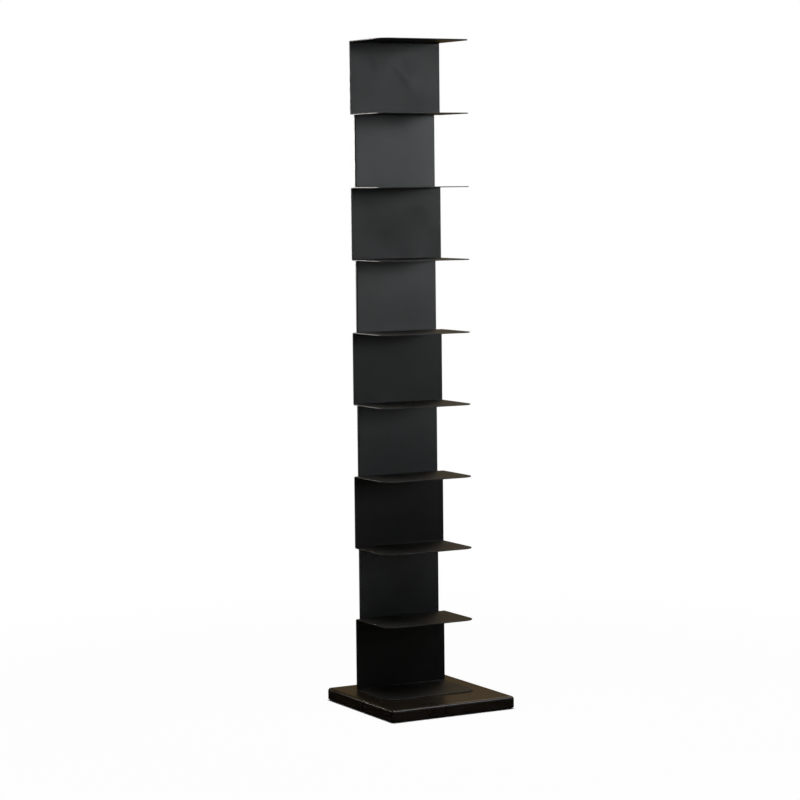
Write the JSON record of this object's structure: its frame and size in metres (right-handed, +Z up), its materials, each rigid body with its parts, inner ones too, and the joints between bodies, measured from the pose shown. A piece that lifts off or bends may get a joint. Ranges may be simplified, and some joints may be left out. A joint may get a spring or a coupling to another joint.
{
  "type": "spine bookshelf",
  "caption": "Tall narrow bookshelf: bent steel shelf units with round front corners stacked up a slim black spine on a square base.",
  "frame": {"origin": "on the floor under the middle of the base", "axes": "+Z up along the spine, -Y towards the front where the shelves reach out, +X to the right seen from the front"},
  "size_m": [0.326, 0.326, 1.557],
  "materials": {
    "shelf_coat": "fine satin black powder coat",
    "spine_coat": "fine satin black powder coat",
    "post_coat": "matte black powder coat",
    "stud_steel": "copper-flashed weld stud, dull",
    "zinc_hardware": "bright zinc plate",
    "black_screw": "black oxide",
    "base_lacquer": "satin black lacquer over board",
    "pad_rubber": "matte non-slip pad"
  },
  "bodies": {
    "root": {"base_board": "base_lacquer", "floor_pad_back_left": "pad_rubber", "floor_pad_back_right": "pad_rubber", "floor_pad_front_left": "pad_rubber", "floor_pad_front_right": "pad_rubber", "foot_bolts": "zinc_hardware", "foot_nuts": "zinc_hardware", "foot_plate": "post_coat", "foot_washers": "zinc_hardware", "post_lower": "post_coat", "post_splice": "post_coat", "post_upper": "post_coat", "shelf_unit_1": "shelf_coat", "shelf_unit_2": "shelf_coat", "shelf_unit_3": "shelf_coat", "shelf_unit_4": "shelf_coat", "shelf_unit_5": "shelf_coat", "spine_tray_lower": "spine_coat", "spine_tray_upper": "spine_coat", "splice_nuts": "zinc_hardware", "splice_screws": "black_screw", "unit_nuts_1": "zinc_hardware", "unit_nuts_2": "zinc_hardware", "unit_nuts_3": "zinc_hardware", "unit_nuts_4": "zinc_hardware", "unit_nuts_5": "zinc_hardware", "unit_studs_1": "stud_steel", "unit_studs_2": "stud_steel", "unit_studs_3": "stud_steel", "unit_studs_4": "stud_steel", "unit_studs_5": "stud_steel", "wall_tie_strap": "post_coat"}
  },
  "joints": []
}
